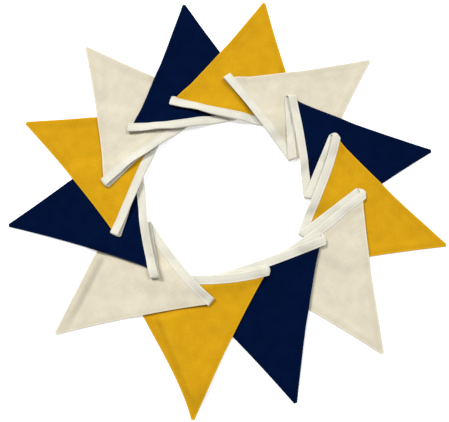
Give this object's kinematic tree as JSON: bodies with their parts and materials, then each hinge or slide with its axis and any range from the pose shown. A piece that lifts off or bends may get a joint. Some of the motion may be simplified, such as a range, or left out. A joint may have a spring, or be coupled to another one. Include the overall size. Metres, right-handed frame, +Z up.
{
  "type": "fabric bunting",
  "caption": "Triangular cotton pennants on one folded binding tape, laid out flat as a closed wreath in which each pennant laps the one before it.",
  "frame": {"origin": "on the surface that the bunting lies on, under the middle of its outline", "axes": "+Z up, square to the surface; the picture's right is +X and its top is +Y"},
  "size_m": [0.5693, 0.559, 0.0138],
  "materials": {
    "navy_cotton": "matte plain-weave cotton, dark navy",
    "mustard_cotton": "matte plain-weave cotton, mustard yellow",
    "cream_cotton": "matte plain-weave cotton, unbleached cream",
    "binding_cotton": "matte fine-weave cotton tape, off-white, sewn along its open edge"
  },
  "bodies": {
    "root": {"flag_01_navy": "navy_cotton", "flag_02_mustard": "mustard_cotton", "flag_03_cream": "cream_cotton", "flag_04_navy": "navy_cotton", "flag_05_mustard": "mustard_cotton", "flag_06_cream": "cream_cotton", "flag_07_navy": "navy_cotton", "flag_08_mustard": "mustard_cotton", "flag_09_cream": "cream_cotton", "flag_10_navy": "navy_cotton", "flag_11_mustard": "mustard_cotton", "flag_12_cream": "cream_cotton", "binding_tape": "binding_cotton"}
  },
  "joints": []
}
